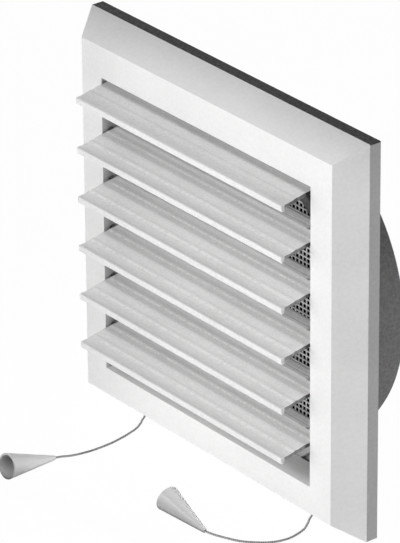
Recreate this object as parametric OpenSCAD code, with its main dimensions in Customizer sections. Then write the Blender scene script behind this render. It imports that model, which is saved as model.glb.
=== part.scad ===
/* [Window] */
// Width of the window between its side walls
window_w = 144; // [130:1:170]
// Room between the top pivot and the window's upper edge
head_room = 2.5; // [2:0.1:4]
// Room between the lowest closed louvre and the sill
sill_gap = 1; // [0.6:0.1:3]
// Pocket above the window that the top louvre's rear edge closes into
head_pocket = 5.4; // [5:0.1:8]

/* [Front frame] */
// Width of the flat border at the sides of the window
side_border = 14; // [12:0.5:24]
// Height of the flat border above the window
top_border = 15; // [13.5:0.5:24]
// Height of the flat border below the window
bottom_border = 13; // [12:0.5:24]
// Width of the bevel, seen from the front
bevel_w = 9; // [7:0.5:11]
// Depth of the bevel, from the base's rim to the front face
bevel_d = 13; // [12.5:0.5:18]
// Wall thickness of the front frame
frame_wall = 2.2; // [1.8:0.1:2.6]

/* [Wall base] */
// Depth of the rim around the base
rim_d = 6; // [5.6:0.1:8]
// Wall thickness of the rim
rim_wall = 2.5; // [2:0.1:3]
// Thickness of the base plate
plate_t = 2.5; // [2:0.1:2.7]
// Outer diameter of the duct spigot
spigot_d = 157; // [140:1:160]
// Length of the spigot behind the plate
spigot_len = 29; // [15:1:60]
// Distance of the spigot's axis below the plate's centre
spigot_drop = 7.9; // [0:0.1:8.4]
// Wall thickness of the spigot
spigot_wall = 2.2; // [1.6:0.1:3]
// Diameter of the screw holes in the corners
screw_hole_d = 4.5; // [3.5:0.1:5.5]
// Distance of the screw holes from the base's edges
screw_inset = 15; // [13:0.5:18]

/* [Louvres] */
// Distance from one louvre's pivot to the next
louvre_pitch = 24.1; // [24:0.1:25]
// Length of a louvre ahead of its pivot
louvre_front = 20; // [19.6:0.1:20.4]
// Length of a louvre behind its pivot
louvre_rear = 6.6; // [6.2:0.1:6.8]
// Thickness of a louvre
louvre_t = 1.6; // [1.3:0.1:1.8]
// Height of the turned-down front lip below the louvre's underside
front_lip_h = 1.2; // [0.6:0.1:1.3]
// Thickness of the front lip
front_lip_t = 1.5; // [1:0.1:1.5]
// Height of the turned-up rear lip above the louvre's top
rear_lip_h = 2.2; // [1.6:0.1:2.3]
// Thickness of the rear lip
rear_lip_t = 1.1; // [0.8:0.1:1.1]
// Depth of a pivot behind the front face
pivot_depth = 4.6; // [4.4:0.1:5]
// Droop of the open louvres towards the front, in degrees
droop = 9; // [7:1:10]
// Turn of the louvres from open to closed, in degrees
closing_turn = 71; // [68:1:71]
// Clearance between a louvre's end and the side wall
end_clearance = 1; // [0.5:0.1:1.5]
// Diameter of the louvres' trunnions
trunnion_d = 3; // [2.4:0.1:3.4]
// Radial running clearance of the trunnions
running_clearance = 0.08; // [0.05:0.01:0.1]

/* [Tie bar] */
// Radius from a louvre's pivot to its crank pin
crank_r = 7.5; // [6.8:0.1:7.6]
// Diameter of the crank pins
pin_d = 2.4; // [2:0.1:2.6]
// Distance from the tie bar's centre to the window's right side wall
bar_inset = 8.5; // [6:0.5:12]
// Thickness of the tie bar
bar_t = 3; // [2:0.1:3.4]
// Width of the tie bar
bar_w = 4.4; // [4.2:0.1:4.6]
// Radial clearance of the pins in the tie bar
pin_clearance = 0.15; // [0.08:0.01:0.2]

/* [Insect mesh] */
// Distance between the mesh's strands
mesh_pitch = 2.5; // [2:0.1:5]
// Width of a strand
strand_w = 0.6; // [0.3:0.05:0.9]
// Thickness of a strand
strand_t = 0.35; // [0.2:0.01:0.4]
// Thickness of the ring that holds the mesh
ring_t = 1.2; // [0.8:0.1:1.3]
// Width of the ring outside the spigot's bore
ring_w = 5.2; // [4:0.1:6]

/* [Cords] */
// Diameter of the pull cords
cord_d = 1; // [0.8:0.1:1.2]
// Distance from the closing cord to the window's left side wall
closing_inset = 17; // [14:0.5:27]
// Diameter of the cord guides where they pass the bevel
guide_d = 3.6; // [3:0.1:4.4]
// Length of the cord guides
guide_len = 5; // [4:0.1:6]
// Diameter of the posts that turn the closing cord
post_d = 5; // [4:0.1:6]

/* [Cord pulls] */
// Length of a pull
pull_len = 27; // [18:1:40]
// Outer diameter of a pull's open end
pull_d = 12; // [8:0.5:16]
// Outer diameter of a pull's tip
pull_tip_d = 2; // [1.8:0.1:3]
// Wall thickness of a pull
pull_wall = 0.9; // [0.6:0.1:1.2]
// Diameter of the knot inside a pull
knot_d = 2.6; // [2.2:0.1:3]

/* [Hidden] */
louvre_count = 6;
eps = 0.01;
seat_gap = 0.1;
$fn = 64;

// Overall sizes
window_h = (louvre_count - 1) * louvre_pitch + louvre_front + sill_gap + head_room;
plate_w = window_w + 2 * (side_border + bevel_w);
plate_h = window_h + top_border + bottom_border + 2 * bevel_w;
face_d = rim_d + bevel_d;
sill_z = bevel_w + bottom_border;
head_z = sill_z + window_h;
spigot_r = spigot_d / 2;
bore_r = spigot_r - spigot_wall;
collar_r = spigot_r + 1;
spigot_z = plate_h / 2 - spigot_drop;

// A louvre's outline, rearwards and up from its pivot, before it droops
half_t = louvre_t / 2;
nose_r = 0.6;
groove_w = 1.8;
groove_d = 0.45;
// Soft ridges along its top: distance behind the front edge, rise
relief = [
    [1.2, 0], [3, -0.2], [4.5, -0.26], [6.3, -0.15], [8.2, 0.13], [9.4, -0.03], [11, 0.01],
    [13.2, 0.22], [15.4, 0.05], [17.4, 0], [18.6, 0.15], [19.9, -0.07], [21.3, -0.11], [22.8, -0.02]
];
louvre_outline = concat(
    [for (a = [180:-15:90]) [nose_r * (1 + cos(a)) - louvre_front, half_t - nose_r * (1 - sin(a))]],
    [for (p = relief) [p[0] - louvre_front, half_t + p[1]]],
    [
        [louvre_rear - rear_lip_t - groove_w - groove_d, half_t - 0.2],
        [louvre_rear - rear_lip_t - groove_w, half_t - 0.2 - groove_d],
        [louvre_rear - rear_lip_t - groove_d, half_t - 0.2 - groove_d],
        [louvre_rear - rear_lip_t, half_t],
        [louvre_rear - rear_lip_t, half_t + rear_lip_h - 0.3],
        [louvre_rear - rear_lip_t + 0.3, half_t + rear_lip_h],
        [louvre_rear, half_t + rear_lip_h],
        [louvre_rear, -half_t + 0.5],
        [louvre_rear - 0.5, -half_t],
        [front_lip_t - louvre_front, -half_t],
        [front_lip_t - louvre_front, -half_t - front_lip_h + 0.3],
        [front_lip_t - louvre_front - 0.3, -half_t - front_lip_h],
        [-louvre_front, -half_t - front_lip_h]
    ]
);
reach = face_d - pivot_depth
    + max([for (p = louvre_outline) p[1] * sin(droop) - p[0] * cos(droop)]);

// Depths, from the wall plane forwards to the louvres
wall_y = (reach - spigot_len) / 2;
rim_y = wall_y - rim_d;
face_y = wall_y - face_d;
plate_y = wall_y - plate_t;
pivot_y = face_y + pivot_depth;
mesh_t = 2 * strand_t + 0.02;
ring_y = plate_y - mesh_t - ring_t;
box_back_y = ring_y - 0.3;
top_pivot_z = head_z - head_room;
function pivot_z(n) = top_pivot_z - (n - 1) * louvre_pitch;

// Crank and tie bar
bar_x = window_w / 2 - bar_inset;
crank_turn = -closing_turn / 2;
pin_y = pivot_y + crank_r * cos(crank_turn);
pin_drop = crank_r * sin(-crank_turn);
bar_end = 3;
bar_top_z = pivot_z(1) - pin_drop + bar_end;
bar_bottom_z = pivot_z(louvre_count) - pin_drop - bar_end;
lug_t = 2;
lug_r = 1.9;
lug_x = bar_x + bar_t / 2 + 0.3;
pin_end_x = bar_x - bar_t / 2 - 0.6;
slot_x = pin_end_x - 0.4;
slot_start = 2.3;

// Cord runs inside the frame
closing_x = window_w / 2 - closing_inset;
cord_r = cord_d / 2;
cord_y = pin_y + 1.4;
bevel_angle = atan(bevel_w / bevel_d);
guide_r = guide_d / 2;
guide_bore_r = cord_r + 0.25;
guide_flange_r = guide_r + 0.6;
guide_flange_t = 0.6;
guide_out = [0, -sin(bevel_angle), -cos(bevel_angle)];
guide_inner_y = cord_y;
guide_face_y = guide_inner_y + guide_len * guide_out[1];
guide_face_z = (rim_y - guide_face_y) * tan(bevel_angle);
guide_inner_z = guide_face_z - guide_len * guide_out[2];
run_bottom_z = guide_inner_z + 0.5;
post_r = post_d / 2;
turn_r = post_r + cord_r + 0.05;
head_wall_z = head_z + head_pocket;
post_z = head_wall_z + frame_wall + post_r + 2.4;
right_post_x = bar_x - turn_r;
left_post_x = turn_r - closing_x;
post_boss_r = 3.4;
post_boss_len = 5;
post_pin_r = 1.5;
post_y = face_y + frame_wall + post_boss_len;

// Snap hooks of the frame, and the base's catches for them
hook_t = 1.6;
hook_w = 8;
hook_x = window_w / 2 + frame_wall + 6.7;
hook_z = [0.08, 0.92];
barb = 1.2;
catch_t = 2;
catch_w = 10;
catch_len = 8.5;

// Free cords: out through a guide, then over the points where they lie, to the knots
opening_lay = [
    [0.2, -8.7, 1], [1.1, -10.4, 0.6], [3.5, -13.4, 0.6], [6.6, -18.6, 0.6], [8.3, -27.5, 0.6],
    [6.4, -35.3, 0.6], [1.9, -41.3, 0.6], [-3.8, -46.1, 0.6], [-12.3, -50.2, 0.7],
    [-16.1, -51.7, 0.9], [-19.2, -52.4, 1], [-21.5, -52.4, 1.4], [-23.7, -52.4, 1.8]
];
closing_lay = [
    [0.2, -8.7, 1], [1.1, -10.4, 0.6], [3.4, -13.4, 0.6], [5.8, -17.8, 0.6], [8.1, -26.1, 0.6],
    [9.5, -35.2, 0.6], [9.4, -46.2, 0.6], [7.7, -55.1, 0.7], [5.9, -59.6, 0.9],
    [4.9, -62.9, 1], [4.9, -65.2, 1.4], [4.9, -67.4, 1.8]
];
function route(x, lay) = concat(
    [for (d = [0, 0.55, 1.1]) [x, guide_inner_y, guide_inner_z] + d * guide_len * guide_out],
    [for (p = lay) [x, 0, 0] + p]
);
opening_pull_tip = [bar_x - 19.2, -52.4];
opening_pull_turn = 180;
closing_pull_tip = [4.9 - closing_x, -62.9];
closing_pull_turn = 270;

// Colours
white = [0.93, 0.93, 0.92];
grey = [0.62, 0.62, 0.62];
dark = [0.35, 0.35, 0.36];

// A block from x0, y0, z0 to x1, y1, z1
module block(p, q) {
    translate(p) cube(q - p);
}

// A profile in the Y-Z plane, drawn out from x0 to x1
module along_x(x0, x1) {
    translate([x0, 0, 0]) rotate([90, 0, 90]) linear_extrude(x1 - x0) children();
}

// A straight-sided frustum on the frame's outline, narrowing towards the front
module frustum(inset, y_back, y_front) {
    back = inset + (rim_y - y_back) * tan(bevel_angle);
    front = inset + (rim_y - y_front) * tan(bevel_angle);
    intersection() {
        linear_extrude(plate_h)
            polygon([
                [back - plate_w / 2, y_back], [plate_w / 2 - back, y_back],
                [plate_w / 2 - front, y_front], [front - plate_w / 2, y_front]
            ]);
        along_x(-plate_w / 2, plate_w / 2)
            polygon([
                [y_back, back], [y_back, plate_h - back],
                [y_front, plate_h - front], [y_front, front]
            ]);
    }
}

// One side of everything that the frame has on both sides
module both_sides() {
    children();
    mirror([1, 0, 0]) children();
}

module snap_hook(z) {
    root_y = face_y + frame_wall - eps;
    tip_y = plate_y - 3.9;
    translate([0, 0, z - hook_w / 2])
        linear_extrude(hook_w)
            polygon([
                [hook_x - hook_t, root_y], [hook_x, root_y],
                [hook_x, tip_y - 2.9], [hook_x + barb, tip_y - 2.7],
                [hook_x, tip_y], [hook_x - hook_t, tip_y]
            ]);
}

module front_frame() {
    inner_face_y = face_y + frame_wall;
    box_x = window_w / 2 + frame_wall;
    color(white)
        difference() {
            union() {
                difference() {
                    frustum(0, rim_y, face_y);
                    frustum(frame_wall / cos(bevel_angle), rim_y + eps, inner_face_y);
                }
                block(
                    [-box_x, inner_face_y - eps, sill_z - frame_wall],
                    [box_x, box_back_y, head_wall_z + frame_wall]
                );
                for (x = [right_post_x, left_post_x])
                    translate([x, inner_face_y - eps, post_z])
                        rotate([-90, 0, 0]) cylinder(r = post_boss_r, h = post_boss_len + eps);
                for (s = hook_z) both_sides() snap_hook(sill_z + s * window_h);
            }
            block(
                [-window_w / 2, inner_face_y, sill_z],
                [window_w / 2, box_back_y + 1, head_wall_z]
            );
            block([-window_w / 2, face_y - 1, sill_z], [window_w / 2, inner_face_y + 1, head_z]);
            for (n = [1:louvre_count])
                translate([-box_x - 1, pivot_y, pivot_z(n)])
                    rotate([0, 90, 0])
                        cylinder(d = trunnion_d + 2 * running_clearance, h = 2 * box_x + 2);
            for (x = [right_post_x, left_post_x])
                translate([x, inner_face_y + 0.5, post_z])
                    rotate([-90, 0, 0]) cylinder(r = post_pin_r + 0.05, h = post_boss_len);
            for (x = [bar_x, -closing_x]) {
                translate([x, guide_face_y, guide_face_z])
                    rotate([-bevel_angle, 0, 0])
                        translate([0, 0, -1]) cylinder(r = guide_r + 0.05, h = 2 * frame_wall + 1);
                for (z = [sill_z - frame_wall - 1, head_wall_z - 1])
                    block(
                        [x - cord_r - 0.8, cord_y - cord_r - 0.8, z],
                        [x + cord_r + 0.8, box_back_y + 1, z + frame_wall + 2]
                    );
            }
        }
}

module catch_wall(z) {
    x = hook_x + 0.2;
    difference() {
        block([x, plate_y - catch_len, z - catch_w / 2], [x + catch_t, plate_y + eps, z + catch_w / 2]);
        block(
            [x - 1, plate_y - 7, z - hook_w / 2 - 0.3],
            [x + catch_t + 1, plate_y - 4.2, z + hook_w / 2 + 0.3]
        );
    }
}

module wall_base() {
    color(grey)
        difference() {
            union() {
                difference() {
                    block([-plate_w / 2, rim_y, 0], [plate_w / 2, wall_y, plate_h]);
                    block(
                        [rim_wall - plate_w / 2, rim_y - 1, rim_wall],
                        [plate_w / 2 - rim_wall, plate_y, plate_h - rim_wall]
                    );
                    translate([0, plate_y - 1, spigot_z])
                        rotate([-90, 0, 0])
                            cylinder(r = collar_r + 0.05, h = plate_t + 2, $fn = 128);
                }
                for (s = hook_z) both_sides() catch_wall(sill_z + s * window_h);
                for (x = [-1, 1], z = [screw_inset, plate_h - screw_inset])
                    translate([x * (plate_w / 2 - screw_inset), plate_y - 1, z])
                        rotate([-90, 0, 0]) cylinder(d = screw_hole_d + 5, h = 1 + eps);
            }
            for (x = [-1, 1], z = [screw_inset, plate_h - screw_inset])
                translate([x * (plate_w / 2 - screw_inset), plate_y - 2, z])
                    rotate([-90, 0, 0]) cylinder(d = screw_hole_d, h = plate_t + 3);
        }
}

module duct_spigot() {
    color(grey)
        translate([0, wall_y, spigot_z])
            rotate([-90, 0, 0])
                rotate_extrude($fn = 128)
                    polygon([
                        [bore_r, -plate_t], [collar_r, -plate_t], [collar_r, 0],
                        [spigot_r, 0], [spigot_r, spigot_len - 1.5],
                        [spigot_r - 0.8, spigot_len], [bore_r + 0.4, spigot_len],
                        [bore_r, spigot_len - 0.4]
                    ]);
}

// Straight strands in two layers, each cut to the round opening
module insect_mesh() {
    r = bore_r + ring_w - 2;
    steps = floor((r - strand_w) / mesh_pitch);
    color(dark)
        for (i = [-steps:steps]) {
            s = i * mesh_pitch;
            half = sqrt(r * r - s * s) - 0.3;
            block(
                [s - strand_w / 2, plate_y - strand_t, spigot_z - half],
                [s + strand_w / 2, plate_y, spigot_z + half]
            );
            block(
                [-half, plate_y - mesh_t, spigot_z + s - strand_w / 2],
                [half, plate_y - mesh_t + strand_t, spigot_z + s + strand_w / 2]
            );
        }
}

module mesh_ring() {
    ring_r = bore_r + ring_w;
    color(white)
        translate([0, ring_y, spigot_z])
            rotate([-90, 0, 0])
                rotate_extrude($fn = 128)
                    polygon([
                        [bore_r, 0], [ring_r - 0.5, 0], [ring_r, 0.5],
                        [ring_r, ring_t + mesh_t], [ring_r - 1.8, ring_t + mesh_t],
                        [ring_r - 1.8, ring_t], [bore_r, ring_t]
                    ]);
}

module crank_lug() {
    pin = [crank_r * cos(crank_turn - droop), crank_r * sin(crank_turn - droop)];
    along_x(lug_x, lug_x + lug_t)
        hull() {
            circle(r = half_t, $fn = 32);
            translate(pin) circle(r = lug_r, $fn = 32);
        }
    translate([pin_end_x, pin[0], pin[1]])
        rotate([0, 90, 0]) cylinder(d = pin_d, h = lug_x - pin_end_x + eps);
}

module louvre(n) {
    end_x = window_w / 2 - end_clearance;
    color(white)
        translate([0, pivot_y, pivot_z(n)])
            rotate([droop, 0, 0]) {
                difference() {
                    along_x(-end_x, end_x) polygon(louvre_outline);
                    block([slot_x, slot_start, -louvre_t], [lug_x, louvre_rear + 1, louvre_t + rear_lip_h]);
                }
                crank_lug();
                both_sides()
                    translate([end_x - eps, 0, 0])
                        rotate([0, 90, 0]) {
                            cylinder(d = trunnion_d, h = end_clearance + frame_wall + eps);
                            cylinder(d = trunnion_d + 0.6, h = end_clearance - 0.2 + eps);
                        }
            }
}

module tie_bar() {
    color(white)
        difference() {
            along_x(bar_x - bar_t / 2, bar_x + bar_t / 2)
                polygon([
                    [pin_y - bar_w / 2, bar_bottom_z + 1], [pin_y - bar_w / 2 + 1, bar_bottom_z],
                    [pin_y + bar_w / 2, bar_bottom_z], [pin_y + bar_w / 2, bar_top_z],
                    [pin_y - bar_w / 2 + 1, bar_top_z], [pin_y - bar_w / 2, bar_top_z - 1]
                ]);
            for (n = [1:louvre_count])
                translate([bar_x - bar_t, pin_y, pivot_z(n) - pin_drop])
                    rotate([0, 90, 0]) cylinder(d = pin_d + 2 * pin_clearance, h = 2 * bar_t);
        }
}

module turn_post(x) {
    end_y = box_back_y + 1;
    color(grey)
        translate([x, 0, post_z]) rotate([-90, 0, 0]) {
            translate([0, 0, post_y - post_boss_len + 1]) cylinder(r = post_pin_r, h = post_boss_len);
            translate([0, 0, post_y]) cylinder(r = post_r + 0.9, h = 1);
            translate([0, 0, post_y]) cylinder(r = post_r, h = end_y - post_y);
            translate([0, 0, end_y - 1]) cylinder(r = post_r + 0.9, h = 1);
        }
}

module straight_cord(x, z0, z1) {
    translate([x, cord_y, z0]) cylinder(r = cord_r, h = z1 - z0, $fn = 32);
}

module opening_cord_run() {
    color(dark) straight_cord(bar_x, run_bottom_z, bar_bottom_z);
}

module closing_cord_rise() {
    color(dark) straight_cord(bar_x, bar_top_z, post_z - seat_gap);
}

module quarter_turn(x, from) {
    translate([x, cord_y, post_z])
        rotate([90, 0, 0])
            rotate([0, 0, from])
                rotate_extrude(angle = 90, $fn = 64)
                    translate([turn_r, 0]) circle(r = cord_r, $fn = 32);
}

// Over both posts and down behind the louvres to the left guide
module closing_cord_run() {
    color(dark) {
        quarter_turn(right_post_x, 0);
        quarter_turn(left_post_x, 90);
        translate([left_post_x, cord_y, post_z + turn_r])
            rotate([0, 90, 0]) cylinder(r = cord_r, h = right_post_x - left_post_x, $fn = 32);
        straight_cord(-closing_x, run_bottom_z, post_z);
    }
}

module cord_guide(x) {
    color(grey)
        translate([x, guide_face_y, guide_face_z])
            rotate([-bevel_angle, 0, 0])
                difference() {
                    union() {
                        translate([0, 0, -guide_flange_t])
                            cylinder(r = guide_flange_r, h = guide_flange_t);
                        cylinder(r = guide_r, h = guide_len);
                    }
                    translate([0, 0, -1]) cylinder(r = guide_bore_r, h = guide_len + 2);
                }
}

// A smooth curve through a route's points
function along(p, i, t) =
    let (
        a = p[max(i - 1, 0)], b = p[i], c = p[i + 1], d = p[min(i + 2, len(p) - 1)]
    )
    0.5 * (2 * b + (c - a) * t + (2 * a - 5 * b + 4 * c - d) * t * t
        + (3 * b - a - 3 * c + d) * t * t * t);
function smooth(p, steps) = concat(
    [for (i = [0:len(p) - 2], k = [0:steps - 1]) along(p, i, k / steps)],
    [p[len(p) - 1]]
);
function unit(v) = v / norm(v);
function ring_points(p, i, r, sides) =
    let (
        t = unit(p[min(i + 1, len(p) - 1)] - p[max(i - 1, 0)]),
        side = unit(cross(t, [0, 0, 1])),
        up = cross(side, t)
    )
    [for (k = [0:sides - 1]) p[i] + r * (cos(k * 360 / sides) * side + sin(k * 360 / sides) * up)];

module swept_cord(route, steps) {
    sides = 8;
    p = smooth(route, steps);
    n = len(p);
    color(dark)
        polyhedron(
            points = [for (i = [0:n - 1]) each ring_points(p, i, cord_r, sides)],
            faces = concat(
                [[for (k = [0:sides - 1]) k]],
                [
                    for (i = [0:n - 2], k = [0:sides - 1])
                        let (a = i * sides + k, b = i * sides + (k + 1) % sides)
                        each [[a, a + sides, b + sides], [a, b + sides, b]]
                ],
                [[for (k = [sides - 1:-1:0]) (n - 1) * sides + k]]
            )
        );
}

// A pull lies on its side: its axis rises by the cone's own half angle
pull_angle = atan((pull_d - pull_tip_d) / 2 / pull_len);
pull_tip_z = pull_tip_d / 2 * cos(pull_angle);
pull_hole_r = cord_r + 0.15;
pull_throat = 2;
pull_bore_angle = atan((pull_d / 2 - pull_wall - pull_hole_r) / (pull_len - pull_throat));
knot_at = pull_throat
    + ((knot_d / 2 + seat_gap) / cos(pull_bore_angle) - pull_hole_r) / tan(pull_bore_angle);

module place_pull(tip, turn) {
    translate([tip[0], tip[1], pull_tip_z])
        rotate([0, 0, turn]) rotate([0, 90 - pull_angle, 0]) children();
}

module cord_pull(tip, turn) {
    tip_r = pull_tip_d / 2;
    open_r = pull_d / 2;
    color(white)
        place_pull(tip, turn)
            rotate_extrude($fn = 96)
                polygon([
                    [pull_hole_r, 0], [tip_r, 0], [open_r, pull_len],
                    [open_r - pull_wall, pull_len], [pull_hole_r, pull_throat]
                ]);
}

module cord_knot(tip, turn) {
    color(dark)
        place_pull(tip, turn)
            translate([0, 0, knot_at]) sphere(d = knot_d, $fn = 32);
}

front_frame();
wall_base();
duct_spigot();
insect_mesh();
mesh_ring();
louvre(1);  // louvre_1
louvre(2);  // louvre_2
louvre(3);  // louvre_3
louvre(4);  // louvre_4
louvre(5);  // louvre_5
louvre(6);  // louvre_6
tie_bar();
turn_post(right_post_x);  // right_turn_post
turn_post(left_post_x);  // left_turn_post
opening_cord_run();
closing_cord_rise();
closing_cord_run();
cord_guide(bar_x);  // opening_cord_guide
cord_guide(-closing_x);  // closing_cord_guide
swept_cord(route(bar_x, opening_lay), 2);  // opening_cord
swept_cord(route(-closing_x, closing_lay), 2);  // closing_cord
cord_knot(opening_pull_tip, opening_pull_turn);  // opening_cord_knot
cord_knot(closing_pull_tip, closing_pull_turn);  // closing_cord_knot
cord_pull(opening_pull_tip, opening_pull_turn);  // opening_pull
cord_pull(closing_pull_tip, closing_pull_turn);  // closing_pull
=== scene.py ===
import bpy
import math
from mathutils import Matrix, Vector


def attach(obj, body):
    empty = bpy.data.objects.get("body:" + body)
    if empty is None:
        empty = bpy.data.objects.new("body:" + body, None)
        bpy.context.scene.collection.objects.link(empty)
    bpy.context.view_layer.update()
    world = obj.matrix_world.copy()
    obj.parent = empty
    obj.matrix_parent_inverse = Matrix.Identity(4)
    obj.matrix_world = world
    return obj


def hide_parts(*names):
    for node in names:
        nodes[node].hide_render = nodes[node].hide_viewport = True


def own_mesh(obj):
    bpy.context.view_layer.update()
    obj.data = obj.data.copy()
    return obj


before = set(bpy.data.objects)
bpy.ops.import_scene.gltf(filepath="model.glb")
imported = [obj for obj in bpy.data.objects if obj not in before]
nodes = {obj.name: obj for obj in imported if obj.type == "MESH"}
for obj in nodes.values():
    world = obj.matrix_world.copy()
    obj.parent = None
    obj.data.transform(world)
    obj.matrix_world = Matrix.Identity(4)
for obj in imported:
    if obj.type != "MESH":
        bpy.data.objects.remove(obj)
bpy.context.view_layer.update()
scene = bpy.context.scene
louvreNames = ["louvre_%d" % n for n in range(1, 7)]
metre = 1000  # in mm
print("frame loaded:", len(nodes), "nodes")


# camera
# measured on the photograph's straight edges; angles in degrees, lengths in mm
cameraSetup = {
    "aim": (0, 2.595, 95),
    "azimuth": 51.61,
    "elevation": 26.53,
    "roll": -0.46,
    "aside": -16.9,
    "above": -2.2,
    "distance": 2201,
    "focal": 5019,  # in pixels, as the height is
    "photoHeight": 543,
    "sensor": 36,
    "farthest": 50,  # in metres
}


def placeCamera(setup):
    turn, rise, roll = (math.radians(setup[key]) for key in ("azimuth", "elevation", "roll"))
    right = Vector((math.cos(turn), math.sin(turn), 0))
    ahead = Vector((-math.sin(turn), math.cos(turn), 0))
    level, plumb = math.cos(rise), math.sin(rise)
    up = Vector((ahead.x * plumb, ahead.y * plumb, level))
    back = Vector((-ahead.x * level, -ahead.y * level, plumb))
    acrossFrame = math.cos(roll) * right + math.sin(roll) * up
    upFrame = math.cos(roll) * up - math.sin(roll) * right
    centre = Vector(setup["aim"]) + setup["aside"] * acrossFrame + setup["above"] * upFrame
    centre = (centre + setup["distance"] * back) / metre
    data = bpy.data.cameras.new("camera")
    data.sensor_width = setup["sensor"]
    data.lens = setup["focal"] / setup["photoHeight"] * setup["sensor"]
    data.clip_end = setup["farthest"]
    camera = bpy.data.objects.new("camera", data)
    facing = Matrix((acrossFrame, upFrame, back)).transposed().to_4x4()
    camera.matrix_world = Matrix.Translation(centre) @ facing
    scene.collection.objects.link(camera)
    scene.camera = camera


placeCamera(cameraSetup)


# cords
# the routes are the CAD's, in mm: the guide's inner end and direction, then the points where the
# free cord lies, with x counted from the guide's
cordSetup = {
    "diameter": 1.0,
    "guideInner": (-4.29956, 6.70032),
    "guideOut": (-0.56921, -0.82219),
    "guideLength": 5,
    "guideShares": (0, 0.55, 1.1),  # points in the guide and just outside it
    "stepsPerStretch": 10,
    "sides": 16,
    "braidPitch": 1.9,
    "braidRise": 0.05,
    "upright": 0.9,  # where the cord is steeper than this, its sides are set out from the front
}
cordRoutes = {
    "opening": {
        "x": 63.5,
        "lay": [
            (0.2, -8.7, 1), (1.1, -10.4, 0.6), (3.5, -13.4, 0.6), (6.6, -18.6, 0.6),
            (8.3, -27.5, 0.6), (6.4, -35.3, 0.6), (1.9, -41.3, 0.6), (-3.8, -46.1, 0.6),
            (-12.3, -50.2, 0.7), (-16.1, -51.7, 0.9), (-19.2, -52.4, 1), (-21.5, -52.4, 1.4),
            (-23.7, -52.4, 1.8),
        ],
    },
    "closing": {
        "x": -55,
        "lay": [
            (0.2, -8.7, 1), (1.1, -10.4, 0.6), (3.4, -13.4, 0.6), (5.8, -17.8, 0.6),
            (8.1, -26.1, 0.6), (9.5, -35.2, 0.6), (9.4, -46.2, 0.6), (7.7, -55.1, 0.7),
            (5.9, -59.6, 0.9), (4.9, -62.9, 1), (4.9, -65.2, 1.4), (4.9, -67.4, 1.8),
        ],
    },
}


def routePoints(route, setup):
    points = []
    for share in setup["guideShares"]:
        along = share * setup["guideLength"]
        y, z = (s + along * d for s, d in zip(setup["guideInner"], setup["guideOut"]))
        points.append(Vector((route["x"], y, z)))
    return points + [Vector((route["x"] + x, y, z)) for x, y, z in route["lay"]]


def smoothLine(points, steps):  # a smooth curve through every point
    line = []
    for i in range(len(points) - 1):
        a, b = points[max(i - 1, 0)], points[i]
        c, d = points[i + 1], points[min(i + 2, len(points) - 1)]
        for k in range(steps):
            t = k / steps
            line.append(0.5 * (2 * b + (c - a) * t + (2 * a - 5 * b + 4 * c - d) * t * t
                               + (3 * b - a - 3 * c + d) * t * t * t))
    return line + [points[-1]]


def makeMesh(name, points, faces):
    mesh = bpy.data.meshes.new(name)
    mesh.from_pydata(points, [], faces)
    mesh.update()
    piece = bpy.data.objects.new(name, mesh)
    scene.collection.objects.link(piece)
    for face in mesh.polygons:
        face.use_smooth = True
    return piece


def makeBraid(name, line, setup):
    sides, radius = setup["sides"], setup["diameter"] / 2
    points, faces, alongs, rounds = [], [], [], []
    length = 0
    for i, p in enumerate(line):
        length += (p - line[i - 1]).length if i else 0
        ahead = (line[min(i + 1, len(line) - 1)] - line[max(i - 1, 0)]).normalized()
        across = Vector((0, 1, 0) if abs(ahead.z) > setup["upright"] else (0, 0, 1))
        side = ahead.cross(across).normalized()
        up = side.cross(ahead)
        for k in range(sides):
            turn = 2 * math.pi * k / sides
            wave = 2 * math.pi * length / setup["braidPitch"]
            weave = math.cos(2 * turn + wave) * math.cos(2 * turn - wave)
            r = radius * (1 + setup["braidRise"] * weave)
            points.append((p + r * (math.cos(turn) * side + math.sin(turn) * up)) / metre)
            alongs.append(length / setup["braidPitch"])
            rounds.append(k / sides)
    for i in range(len(line) - 1):
        for k in range(sides):
            a, b = i * sides + k, i * sides + (k + 1) % sides
            faces.append((a, a + sides, b + sides, b))
    faces.append(tuple(range(sides)))
    faces.append(tuple((len(line) - 1) * sides + k for k in reversed(range(sides))))
    cord = makeMesh(name, points, faces)
    for label, values in (("braidAlong", alongs), ("braidRound", rounds)):
        cord.data.attributes.new(label, "FLOAT", "POINT").data.foreach_set("value", values)
    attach(cord, "grille")
    return cord, length


def makeCord(name, route, setup):
    line = smoothLine(routePoints(route, setup), setup["stepsPerStretch"])
    cord, length = makeBraid(name + "Cord", line, setup)
    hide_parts(name + "_cord")
    line[0] / metre
    length / metre
    [p / metre for p in line]
    print(name, "cord: %.1f mm" % length)
    return cord


# the tie bar slides along the lower stretch and draws the upper one in; both end inside the bar
innerSetup = {
    "x": 63.5, "y": -4.3, "steps": 40, "travel": 8.71,
    "stretches": {  # piece, height of its foot and of its tip
        "opening_cord_run": ("openingCordRun", 7.2, 45),
        "closing_cord_rise": ("closingCordRise", 178.4, 161.9),
    },
    "shortens": "closing_cord_rise",
}


def makeInner(node, stretch, setup):
    name, *ends = stretch
    foot, tip = (Vector((setup["x"], setup["y"], z)) for z in ends)
    line = [foot.lerp(tip, k / setup["steps"]) for k in range(setup["steps"] + 1)]
    cord, length = makeBraid(name, line, cordSetup)
    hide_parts(node)
    if node == setup["shortens"]:
        keep = 1 - setup["travel"] / length
        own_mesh(cord)
    return cord


cords = [makeCord(name, route, cordSetup) for name, route in cordRoutes.items()]
for node, stretch in innerSetup["stretches"].items():
    cords.append(makeInner(node, stretch, innerSetup))


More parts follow.
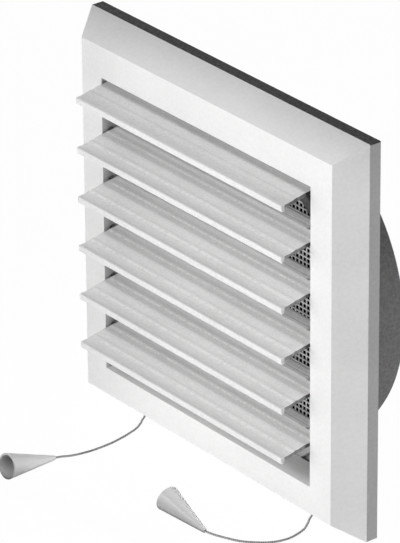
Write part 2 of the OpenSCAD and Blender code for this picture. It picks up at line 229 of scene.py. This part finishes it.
# shader maths
class Wire:  # a node's output that takes sums
    def __init__(self, shader, socket):
        self.shader, self.socket = shader, socket

    def maths(self, operation, *values):
        return self.shader.node("ShaderNodeMath", {"operation": operation}, *values)

    def __add__(self, other):
        return self.maths("ADD", self, other)

    def __sub__(self, other):
        return self.maths("SUBTRACT", self, other)

    def __rsub__(self, other):
        return self.maths("SUBTRACT", other, self)

    def __mul__(self, other):
        return self.maths("MULTIPLY", self, other)

    def __truediv__(self, other):
        return self.maths("DIVIDE", self, other)

    def __rtruediv__(self, other):
        return self.maths("DIVIDE", other, self)

    __radd__, __rmul__ = __add__, __mul__

    def abs(self):
        return self.maths("ABSOLUTE", self)

    def cosine(self):
        return self.maths("COSINE", self)

    def larger(self, other):
        return self.maths("MAXIMUM", self, other)

    def ramp(self, low, high):  # 0 at low, 1 at high, soft at both ends
        settings = {"interpolation_type": "SMOOTHSTEP"}
        return self.shader.node("ShaderNodeMapRange", settings, self, low, high)

    def over(self, span):
        return self.ramp(span["from"], span["to"])

    def band(self, at, half):  # 1 at a place, 0 beyond half a width
        return (1 - (self - at).abs() / half).ramp(0, 1)


class Shader:  # the nodes of a material or of the world
    def __init__(self, name, owner=None):
        self.owner = owner or bpy.data.materials.new(name)
        self.owner.use_nodes = True
        self.tree = self.owner.node_tree
        self.tree.nodes.clear()
        self.place = self.node("ShaderNodeTexCoord", {}, pick="Object")

    def node(self, kind, settings, *values, pick=0, **named):
        made = self.tree.nodes.new(kind)
        for key, value in settings.items():
            setattr(made, key, value)
        for key, value in [*enumerate(values), *named.items()]:
            socket = made.inputs[key]
            if isinstance(value, Wire):
                self.tree.links.new(value.socket, socket)
            elif value is not None:
                socket.default_value = (*value, 1) if socket.type == "RGBA" else value
        return Wire(self, made.outputs[pick]) if made.outputs else made

    def noise(self, scale, detail=2, roughness=0.5, stretch=None):
        place = self.place
        if stretch:
            place = self.node("ShaderNodeVectorMath", {"operation": "MULTIPLY"}, place, stretch)
        return self.node("ShaderNodeTexNoise", {}, Vector=place, Scale=scale, Detail=detail,
                         Roughness=roughness)

    def axis(self, letter, place=None):
        return self.node("ShaderNodeSeparateXYZ", {}, place or self.place, pick=letter)

    def tint(self, share, first, second):  # its colours are sockets 6 and 7
        unused = [None] * 5
        settings = {"data_type": "RGBA"}
        return self.node("ShaderNodeMix", settings, share, *unused, first, second, pick=2)

    def bump(self, height, distance):
        return self.node("ShaderNodeBump", {}, Height=height, Distance=distance, Strength=1.0)

    def show(self, surface):
        self.node("ShaderNodeOutputMaterial", {}, surface)
        return self.owner

    def finish(self, **sockets):
        return self.show(self.node("ShaderNodeBsdfPrincipled", {}, **sockets))


def grey(level):
    return (level, level, level)


black, white = grey(0), grey(1)


# painted shade on the window's side walls, greyer inwards; places in metres
windowShade = {
    "at": 0.072, "half": 0.0006,
    "from": -0.0164, "to": -0.0115,
    "low": 0.0205, "high": 0.1665, "soft": 0.001,
    "share": 0.3,
}


def shadeWindow(deeper, place, setup):
    across, depth, height = place
    low, high, soft = setup["low"], setup["high"], setup["soft"]
    inside = height.ramp(low, low + soft) * (1 - height.ramp(high, high + soft))
    wall = across.abs().band(setup["at"], setup["half"]) * depth.over(setup)
    # painted shade: the side walls' darkening, within the window's height
    return deeper + wall * inside * setup["share"]


# the louvres get painted shade to the rear, on the lip, the ends and the top louvre, and painted
# shade and highlights along creases, with lines drawn along them; places in metres
louvreShade = {
    "speck": {"scale": 1000, "detail": 3, "roughness": 0.6, "stretch": (0.8, 1, 1)},
    "drawn": {"noise": {"scale": 1300, "detail": 3, "roughness": 0.7, "stretch": (0.03, 1, 1)},
              "from": 0.35, "to": 0.7, "share": 0.02, "relief": 0.8},
    "highlightDash": {"noise": {"scale": 1000, "stretch": (0.7, 0.02, 0.3)}, "from": 0.42, "to": 0.58},
    # from, to, share: painted shade, greyer to the rear, less in the last groove, most on the rear
    # flange
    "rearShade": [(-0.0285, -0.0265, 0.03), (-0.0192, -0.0174, 0.2), (-0.0125, -0.01, -0.15),
             (-0.0078, -0.0068, 0.38)],
    # at, half width, share: painted shade along creases, and painted light where the share is
    # below 0
    "lines": [(-0.0221, 0.0012, -0.06), (-0.0234, 0.0005, 0.06), (-0.0135, 0.001, 0.13)],
    # painted highlights, broken along the creases
    "crestHighlights": [(-0.0248, 0.0008, 0.25), (-0.0147, 0.0007, 0.18)],  # lighter
    # painted shade on the front lip
    "lip": {"from": -0.0302, "to": -0.0292, "share": 0.09},
    # painted shade on the louvre ends and on the top louvre, behind the lip only
    "ends": {"from": 0.0709, "to": 0.07098, "share": 0.6},
    "top": {"from": 0.148, "to": 0.153, "share": 0.13, "plainer": 0.8},
}


def shadeLouvre(shader, deeper, place, setup):
    across, depth, height = place
    drawn, highlightDash = (shader.noise(**setup[kind]["noise"]) for kind in ("drawn", "highlightDash"))
    highlightDash = highlightDash.over(setup["highlightDash"])
    deeper = deeper + drawn.over(setup["drawn"]) * setup["drawn"]["share"]
    # painted shade towards the rear of each louvre
    for start, full, share in setup["rearShade"]:
        deeper = deeper + depth.ramp(start, full) * share
    # painted shade and painted light along the creases
    for at, half, share in setup["lines"]:
        deeper = deeper + depth.band(at, half) * share
    top, end = height.over(setup["top"]), across.abs().over(setup["ends"])
    # painted highlights on the creases, broken into dashes, fainter on the top louvre
    for at, half, share in setup["crestHighlights"]:
        deeper = deeper - depth.band(at, half) * highlightDash * (1 - top * setup["top"]["plainer"]) * share
    # painted shade on the front lip, and behind it on the ends and on the top louvre
    behind = depth.over(setup["lip"])
    deeper = deeper + (1 - behind) * setup["lip"]["share"]
    deeper = deeper + behind * (top * setup["top"]["share"] + end * setup["ends"]["share"])
    return deeper, drawn * setup["drawn"]["relief"]


# painted shade on the pulls, deep inside and where a side faces the front
pullShade = {
    "inside": {"reach": 0.012, "samples": 8, "from": 0.3, "to": 0.9, "share": 0.5},
    "front": {"from": -0.3, "to": 0.9, "share": 0.5},
}


def shadePull(shader, deeper, setup):
    inside, front = setup["inside"], setup["front"]
    # painted shade in the pull's hollow, from occlusion
    openness = shader.node("ShaderNodeAmbientOcclusion", {"samples": inside["samples"]},
                           Distance=inside["reach"], pick="AO")
    deeper = deeper + (1 - openness).over(inside) * inside["share"]
    # painted shade where a side faces the front
    normal = shader.node("ShaderNodeTexCoord", {}, pick="Normal")
    return deeper + (0 - shader.axis("Y", normal)).over(front) * front["share"]


# plastics
# grain is the height of the fine relief in metres, speckle the most that the specks darken,
# and shine a weaker gloss than usual
plasticSetup = {
    "frame": {"colour": (0.86, 0.86, 0.856), "roughness": 0.42, "grain": 0.00004, "speckle": 0.05},
    "louvre": {"colour": (0.97, 0.97, 0.966), "roughness": 0.5, "grain": 0.00006, "speckle": 0.1},
    "pull": {"colour": (0.93, 0.93, 0.925), "roughness": 0.38, "grain": 0.000002, "speckle": 0.02},
    "trim": {"colour": (0.62, 0.62, 0.615), "roughness": 0.45, "grain": 0.00001, "speckle": 0.04},
    "mesh": {"colour": (0.88, 0.88, 0.875), "roughness": 0.55, "grain": 0.00001, "speckle": 0.05},
    "base": {"colour": (0.51, 0.51, 0.514), "roughness": 0.6, "grain": 0.00003, "speckle": 0.1,
             "shine": 0.2},
    # spigot: the base's plastic, painted darker for the shade it lies in behind the plate
    "spigot": {"colour": (0.21, 0.21, 0.212), "roughness": 0.65, "grain": 0.00004, "speckle": 0.3,
               "shine": 0.2},
    "ring": {"colour": (0.62, 0.62, 0.615), "roughness": 0.6, "grain": 0.00003, "speckle": 0.1,
             "shine": 0.2},
}
mottle = {  # in every plastic: share darkens the colour, rough changes the roughness
    "cloud": {"noise": {"scale": 28, "detail": 3},
              "from": 0.35, "to": 0.7, "share": 0.04, "rough": 0.12},
    "speck": {"noise": {"scale": 620, "detail": 3, "roughness": 0.6},
              "from": 0.3, "to": 0.72, "rough": 0.1},
    "fine": {"noise": {"scale": 2600}},
    "mean": 0.5,  # of every noise
}
# painted shade above a height: the rim's top, and the mesh ring's upper half
upperShade = {  # darker above a height: the rim's top, and the mesh ring's upper half
    "base": {"from": 0.1893, "to": 0.1898, "share": 0.834},
    "ring": {"from": 0.09, "to": 0.12, "share": 0.76},
}


def plastic(name, setup):
    shader = Shader(name + "Plastic")
    place = [shader.axis(letter) for letter in "XYZ"]
    specks = louvreShade["speck"] if name == "louvre" else mottle["speck"]["noise"]
    cloud, speck = shader.noise(**mottle["cloud"]["noise"]), shader.noise(**specks)
    skin = shader.noise(**mottle["fine"]["noise"])
    deeper = (cloud.over(mottle["cloud"]) * mottle["cloud"]["share"]
              + speck.over(mottle["speck"]) * setup["speckle"])
    if name == "louvre":
        deeper, lines = shadeLouvre(shader, deeper, place, louvreShade)
        skin = skin + lines + speck
    elif name == "frame":
        deeper = shadeWindow(deeper, place, windowShade)
    elif name == "pull":
        deeper = shadePull(shader, deeper, pullShade)
    elif name in upperShade:
        # painted shade on the rim's top and the ring's upper half
        deeper = deeper + shader.axis("Z").over(upperShade[name]) * upperShade[name]["share"]
    colour = shader.tint(deeper, setup["colour"], black)
    rough = (setup["roughness"] + (cloud - mottle["mean"]) * mottle["cloud"]["rough"]
             + (speck - mottle["mean"]) * mottle["speck"]["rough"])
    relief = shader.bump(skin, setup["grain"])
    sockets = {"Base Color": colour, "Roughness": rough, "Normal": relief}
    if "shine" in setup:
        sockets["Specular IOR Level"] = setup["shine"]
    return shader.finish(**sockets)


# cord finishes
cordFinish = {
    "dark": 0.16, "light": 0.46, "from": -0.8, "to": 0.6,
    "roughness": 0.8,
    "fuzz": {"scale": 5200, "detail": 3}, "grain": 0.00004,
    "innerRise": 3300, "innerLean": 1800,  # the strands inside the frame
}


def strandColour(shader, strands, setup):
    return shader.tint(strands.over(setup), grey(setup["dark"]), grey(setup["light"]))


def cordBraid(setup):
    shader = Shader("cordBraid")
    along, around = (shader.node("ShaderNodeAttribute", {"attribute_name": label}, pick="Fac")
                     for label in ("braidAlong", "braidRound"))
    turn, wave = around * (4 * math.pi), along * (2 * math.pi)
    weave = (turn + wave).cosine() * (turn - wave).cosine()
    skin = shader.bump(shader.noise(**setup["fuzz"]), setup["grain"])
    return shader.finish(**{"Base Color": strandColour(shader, weave, setup),
                            "Roughness": setup["roughness"], "Normal": skin})


def plainCord(setup):
    shader = Shader("cordInside")
    turn = shader.axis("Z") * setup["innerRise"] + shader.axis("X") * setup["innerLean"]
    return shader.finish(**{"Base Color": strandColour(shader, turn.cosine(), setup),
                            "Roughness": setup["roughness"]})


materials = {name: plastic(name, setup) for name, setup in plasticSetup.items()}
materials["braid"], materials["cord"] = cordBraid(cordFinish), plainCord(cordFinish)
nodeMaterials = {
    "front_frame": "frame", "wall_base": "base", "duct_spigot": "spigot",
    "insect_mesh": "mesh", "mesh_ring": "ring",
    "tie_bar": "trim", "right_turn_post": "trim", "left_turn_post": "trim",
    "opening_cord_guide": "trim", "closing_cord_guide": "trim",
    "closing_cord_run": "cord", "opening_cord_knot": "cord", "closing_cord_knot": "cord",
    "opening_pull": "pull", "closing_pull": "pull",
    **{name: "louvre" for name in louvreNames},
}


def dress(piece, material):
    piece.data.materials.clear()
    piece.data.materials.append(material)


for name, material in nodeMaterials.items():
    dress(nodes[name], materials[material])
for cord in cords:
    dress(cord, materials["braid"])
print("materials:", len(materials))


# rounded edges on the mouldings: radii in mm, angles in degrees, weld in metres
edgeSetup = {"weld": 0.000001, "flatTo": 0.4, "sharpFrom": 32, "segments": 2}
edgeRounds = {
    "front_frame": 0.35, "wall_base": 0.3, "duct_spigot": 0.2, "mesh_ring": 0.15, "tie_bar": 0.25,
    "opening_pull": 0.12, "closing_pull": 0.12,
    "opening_cord_guide": 0.12, "closing_cord_guide": 0.12,
    **{name: 0.18 for name in louvreNames},
}


def roundEdges(piece, radius, setup):
    piece.modifiers.new("weld", "WELD").merge_threshold = setup["weld"]
    flat = piece.modifiers.new("joinFlats", "DECIMATE")
    flat.decimate_type = "DISSOLVE"
    flat.angle_limit = math.radians(setup["flatTo"])
    soft = piece.modifiers.new("roundEdges", "BEVEL")
    soft.width = radius / metre
    soft.segments = setup["segments"]
    soft.limit_method = "ANGLE"
    soft.angle_limit = math.radians(setup["sharpFrom"])
    soft.use_clamp_overlap = True
    piece.modifiers.new("evenShading", "WEIGHTED_NORMAL").keep_sharp = False


for name, radius in edgeRounds.items():
    roundEdges(nodes[name], radius, edgeSetup)
print("edges rounded:", len(edgeRounds))


# studio
# places in metres, powers in watts, spreads in degrees
studio = {
    # bounce is the light that the lit table sends back, beside its own reflection
    "floor": {"size": 6.0, "paper": 0.8, "bounce": 0.3, "whiteness": 0.98},
    "ambient": 0.0,
    "lights": {
        "key": {"at": (-0.83, -2.03, 0.4), "aim": (0, 0, 0.095), "size": 1.35, "power": 18.7,
                "spread": 180},
        "upper": {"at": (0.1, -1.604, 1.371), "aim": (0, 0, 0.095), "size": 0.55, "power": 24.3,
                  "spread": 180},
        "side": {"at": (0.4, 0.26, 0.04), "aim": (0.095, 0, 0.08), "size": 0.25, "power": 0.85,
                 "spread": 180},
        "pulls": {"at": (0.8, -0.09, 0.12), "aim": (-0.02, -0.07, 0), "size": 0.06, "power": 0.09,
                  "spread": 40},
    },
    # cards that keep light off the upper edge, the right side and the pulls; one softens the left
    "cardLevel": 0.05,
    "cards": {
        "upper": [(-0.3, -0.128, 0.289), (0.3, -0.128, 0.289), (0.3, 0.079, 0.429),
                  (-0.3, 0.079, 0.429)],
        "left": [(-0.138, -0.2, -0.1), (-0.138, -0.2, 0.6), (-0.6, -0.2, 0.6), (-0.6, -0.2, -0.1)],
        "right": [(0.2, -0.055, 0), (0.2, 0.03, 0), (0.2, 0.03, 0.3), (0.2, -0.055, 0.3)],
        "low": [(-0.1, -0.115, 0), (0.06, -0.075, 0), (0.06, -0.075, 0.015),
                (-0.1, -0.115, 0.011)],
    },
    # a black sheet behind the mesh as painted shade inside the duct, seen from the front only, in
    # mm
    "dark": {"radius": 76, "y": 27, "z": 87.1, "sides": 64, "level": 0.004},
}


def makeStage(name, corners, material):
    sheet = makeMesh(name, corners, [tuple(range(len(corners)))])
    dress(sheet, material)
    return sheet


def makeFloor(setup):
    half = setup["size"] / 2
    corners = [(-half, -half, 0), (half, -half, 0), (half, half, 0), (-half, half, 0)]
    shader = Shader("floorPaper")
    seen = shader.node("ShaderNodeLightPath", {}, pick="Is Camera Ray")
    paper = shader.node("ShaderNodeBsdfDiffuse", {}, grey(setup["paper"]))
    bounce = shader.node("ShaderNodeEmission", {}, white, setup["bounce"])
    lit = shader.node("ShaderNodeAddShader", {}, paper, bounce)
    plain = shader.node("ShaderNodeEmission", {}, white, 1.0)
    mixed = shader.node("ShaderNodeMixShader", {}, seen * setup["whiteness"], lit, plain)
    makeStage("floor", corners, shader.show(mixed))


def makeWorld(ambient):  # white to the eye and in gloss, ambient to everything else
    shader = Shader("studio", bpy.data.worlds.new("studio"))
    eye, gloss, through = (shader.node("ShaderNodeLightPath", {}, pick="Is %s Ray" % ray)
                           for ray in ("Camera", "Glossy", "Transmission"))
    seen = eye.larger(gloss.larger(through))
    strength = shader.node("ShaderNodeMapRange", {}, seen, 0, 1, ambient, 1)
    glow = shader.node("ShaderNodeBackground", {}, white, strength)
    shader.node("ShaderNodeOutputWorld", {}, glow)
    scene.world = shader.owner


def makeLight(name, setup):
    data = bpy.data.lights.new(name + "Light", "AREA")
    data.shape = "DISK"
    data.size = setup["size"]
    data.energy = setup["power"]
    data.spread = math.radians(setup["spread"])
    light = bpy.data.objects.new(name + "Light", data)
    light.location = setup["at"]
    away = Vector(setup["at"]) - Vector(setup["aim"])
    light.rotation_euler = away.to_track_quat("Z", "Y").to_euler()
    scene.collection.objects.link(light)


def makeDuctShade(setup):
    radius, sides, ring = setup["radius"], setup["sides"], []
    for k in range(sides):
        turn = 2 * math.pi * k / sides
        ring.append((radius * math.cos(turn) / metre, setup["y"] / metre,
                     (setup["z"] + radius * math.sin(turn)) / metre))
    # painted shade: black from the front, clear from behind
    shader = Shader("ductShade")
    behind = shader.node("ShaderNodeNewGeometry", {}, pick="Backfacing")
    paper = shader.node("ShaderNodeBsdfDiffuse", {}, grey(setup["level"]))
    clear = shader.node("ShaderNodeBsdfTransparent", {})
    mixed = shader.node("ShaderNodeMixShader", {}, behind, paper, clear)
    makeStage("ductShade", ring, shader.show(mixed))


def makeCard(name, corners, level):
    paper = Shader(name + "Card").finish(**{"Base Color": grey(level), "Roughness": 1.0})
    card = makeStage(name + "Flag", corners, paper)
    card.visible_camera = card.visible_glossy = card.visible_diffuse = False


makeFloor(studio["floor"])
makeWorld(studio["ambient"])
for name, setup in studio["lights"].items():
    makeLight(name, setup)
for name, corners in studio["cards"].items():
    makeCard(name, corners, studio["cardLevel"])
makeDuctShade(studio["dark"])
scene.view_settings.view_transform = "Standard"
print("studio ready")
